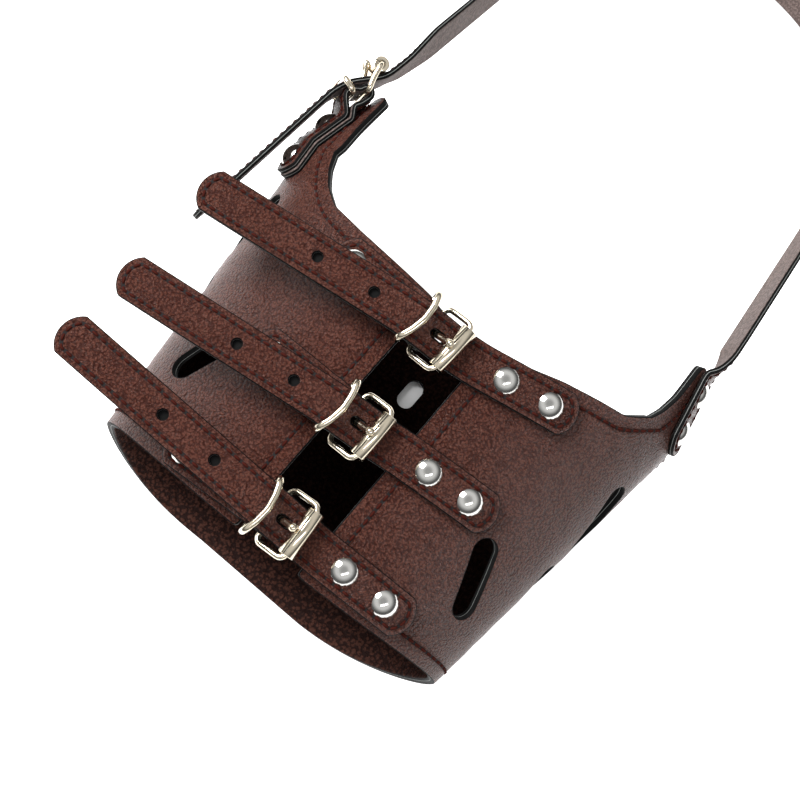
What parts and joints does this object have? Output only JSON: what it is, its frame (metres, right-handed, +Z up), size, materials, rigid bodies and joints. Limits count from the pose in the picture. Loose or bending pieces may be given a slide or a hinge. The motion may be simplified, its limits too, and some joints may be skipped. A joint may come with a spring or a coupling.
{
  "type": "basket muzzle",
  "caption": "Wrap muzzle for a large dog: a tapered leather sleeve with air slots, closed over the snout by buckled straps, with a buckled neck strap.",
  "frame": {"origin": "centre of the flat belly on which the sleeve rests, on the surface it stands on", "axes": "-Y towards the nose opening, +Y towards the neck, +X the side of the riveted straps, +Z up towards the buckles"},
  "size_m": [0.1848, 0.3496, 0.0982],
  "materials": {
    "leather": "satin",
    "lining": "satin",
    "nickel": "polished"
  },
  "bodies": {
    "sleeve": {"buckle_tab_front": "leather", "buckle_tab_middle": "leather", "buckle_tab_neck": "leather", "buckle_tab_rear": "leather", "rivet_front_strap_1": "nickel", "rivet_front_strap_2": "nickel", "rivet_front_tab_1": "nickel", "rivet_front_tab_2": "nickel", "rivet_middle_strap_1": "nickel", "rivet_middle_strap_2": "nickel", "rivet_middle_tab_1": "nickel", "rivet_middle_tab_2": "nickel", "rivet_neck_strap_1": "nickel", "rivet_neck_strap_2": "nickel", "rivet_neck_tab_1": "nickel", "rivet_neck_tab_2": "nickel", "rivet_rear_strap_1": "nickel", "rivet_rear_strap_2": "nickel", "rivet_rear_tab_1": "nickel", "rivet_rear_tab_2": "nickel", "sleeve_lining": "lining", "sleeve_outer": "leather", "strap_front": "leather", "strap_middle": "leather", "strap_neck_buckled": "leather", "strap_neck_riveted": "leather", "strap_rear": "leather"},
    "buckle_rear": {"buckle_frame_rear": "nickel"},
    "roller_rear": {"roller_rear": "nickel"},
    "prong_rear": {"prong_rear": "nickel"},
    "keeper_rear": {"keeper_rear": "nickel"},
    "strap_tip_rear": {"strap_tip_rear": "leather"},
    "buckle_middle": {"buckle_frame_middle": "nickel"},
    "roller_middle": {"roller_middle": "nickel"},
    "prong_middle": {"prong_middle": "nickel"},
    "keeper_middle": {"keeper_middle": "nickel"},
    "strap_tip_middle": {"strap_tip_middle": "leather"},
    "buckle_front": {"buckle_frame_front": "nickel"},
    "roller_front": {"roller_front": "nickel"},
    "prong_front": {"prong_front": "nickel"},
    "keeper_front": {"keeper_front": "nickel"},
    "strap_tip_front": {"strap_tip_front": "leather"},
    "buckle_neck": {"buckle_frame_neck": "nickel"},
    "roller_neck": {"roller_neck": "nickel"},
    "prong_neck": {"prong_neck": "nickel"},
    "keeper_neck": {"keeper_neck": "nickel"},
    "strap_tip_neck": {"strap_tip_neck": "leather"},
    "neck_loop": {"neck_loop": "leather"}
  },
  "joints": [
    {"name": "buckle_tilt_rear", "type": "hinge", "parent": "sleeve", "child": "buckle_rear", "pos_m": [-0.00729, 0.01969, 0.08698], "axis": [-0.0521, -0.994, -0.0962], "range_deg": [0, 6]},
    {"name": "roller_spin_rear", "type": "hinge", "parent": "buckle_rear", "child": "roller_rear", "pos_m": [0.00327, 0.01863, 0.09213], "axis": [-0.0521, -0.994, -0.0962], "continuous": true},
    {"name": "prong_lift_rear", "type": "hinge", "parent": "buckle_rear", "child": "prong_rear", "pos_m": [-0.00729, 0.01969, 0.08698], "axis": [-0.0521, -0.994, -0.0962], "range_deg": [0, 12]},
    {"name": "keeper_slide_rear", "type": "slide", "parent": "sleeve", "child": "keeper_rear", "axis": [0.9986, -0.0523, 0], "range_m": [-0.0012, 0.0003]},
    {"name": "strap_tip_flex_rear", "type": "hinge", "parent": "sleeve", "child": "strap_tip_rear", "pos_m": [-0.01704, 0.01687, 0.09433], "axis": [-0.1299, 0.9868, 0.0962], "range_deg": [-4, 25], "stiffness_Nm_per_rad": 0.08},
    {"name": "buckle_tilt_middle", "type": "hinge", "parent": "sleeve", "child": "buckle_middle", "pos_m": [-0.0082, -0.01865, 0.0833], "axis": [0, -0.9954, -0.0962], "range_deg": [-1, 6]},
    {"name": "roller_spin_middle", "type": "hinge", "parent": "buckle_middle", "child": "roller_middle", "pos_m": [0.00241, -0.01915, 0.08844], "axis": [0, -0.9954, -0.0962], "continuous": true},
    {"name": "prong_lift_middle", "type": "hinge", "parent": "buckle_middle", "child": "prong_middle", "pos_m": [-0.0082, -0.01865, 0.0833], "axis": [0, -0.9954, -0.0962], "range_deg": [0, 12]},
    {"name": "keeper_slide_middle", "type": "slide", "parent": "sleeve", "child": "keeper_middle", "axis": [1, 0, 0], "range_m": [-0.0012, 0.0003]},
    {"name": "strap_tip_flex_middle", "type": "hinge", "parent": "sleeve", "child": "strap_tip_middle", "pos_m": [-0.01794, -0.02123, 0.09062], "axis": [-0.1299, 0.9868, 0.0962], "range_deg": [-4, 25], "stiffness_Nm_per_rad": 0.08},
    {"name": "buckle_tilt_front", "type": "hinge", "parent": "sleeve", "child": "buckle_front", "pos_m": [-0.00547, -0.05727, 0.0796], "axis": [0.0781, -0.9923, -0.0962], "range_deg": [-1, 6]},
    {"name": "roller_spin_front", "type": "hinge", "parent": "buckle_front", "child": "roller_front", "pos_m": [0.00514, -0.05693, 0.08475], "axis": [0.0781, -0.9923, -0.0962], "continuous": true},
    {"name": "prong_lift_front", "type": "hinge", "parent": "buckle_front", "child": "prong_front", "pos_m": [-0.00547, -0.05727, 0.0796], "axis": [0.0781, -0.9923, -0.0962], "range_deg": [-9, 3]},
    {"name": "keeper_slide_front", "type": "slide", "parent": "sleeve", "child": "keeper_front", "axis": [0.9969, 0.0785, 0], "range_m": [-0.0012, 0.0003]},
    {"name": "strap_tip_flex_front", "type": "hinge", "parent": "sleeve", "child": "strap_tip_front", "pos_m": [-0.01551, -0.05749, 0.08683], "axis": [0.0087, 0.9953, 0.0962], "range_deg": [-8, 25], "stiffness_Nm_per_rad": 0.08},
    {"name": "buckle_tilt_neck", "type": "hinge", "parent": "sleeve", "child": "buckle_neck", "pos_m": [-0.08202, 0.07915, 0.05887], "axis": [0.2376, -0.0453, 0.9703], "range_deg": [-1, 6]},
    {"name": "roller_spin_neck", "type": "hinge", "parent": "buckle_neck", "child": "roller_neck", "pos_m": [-0.08496, 0.09051, 0.06012], "axis": [0.2376, -0.0453, 0.9703], "continuous": true},
    {"name": "prong_lift_neck", "type": "hinge", "parent": "buckle_neck", "child": "prong_neck", "pos_m": [-0.08202, 0.07915, 0.05887], "axis": [0.2376, -0.0453, 0.9703], "range_deg": [0, 12]},
    {"name": "keeper_slide_neck", "type": "slide", "parent": "sleeve", "child": "keeper_neck", "axis": [0.1873, 0.9823, 0], "range_m": [-0.0012, 0.0003]},
    {"name": "strap_tip_flex_neck", "type": "hinge", "parent": "sleeve", "child": "strap_tip_neck", "pos_m": [-0.09085, 0.07066, 0.06064], "axis": [-0.2376, 0.0453, -0.9703], "range_deg": [-2, 20], "stiffness_Nm_per_rad": 0.08},
    {"name": "neck_loop_swing", "type": "hinge", "parent": "sleeve", "child": "neck_loop", "pos_m": [0, 0.098, 0.058], "axis": [1, 0, 0], "range_deg": [-8, 30]}
  ]
}
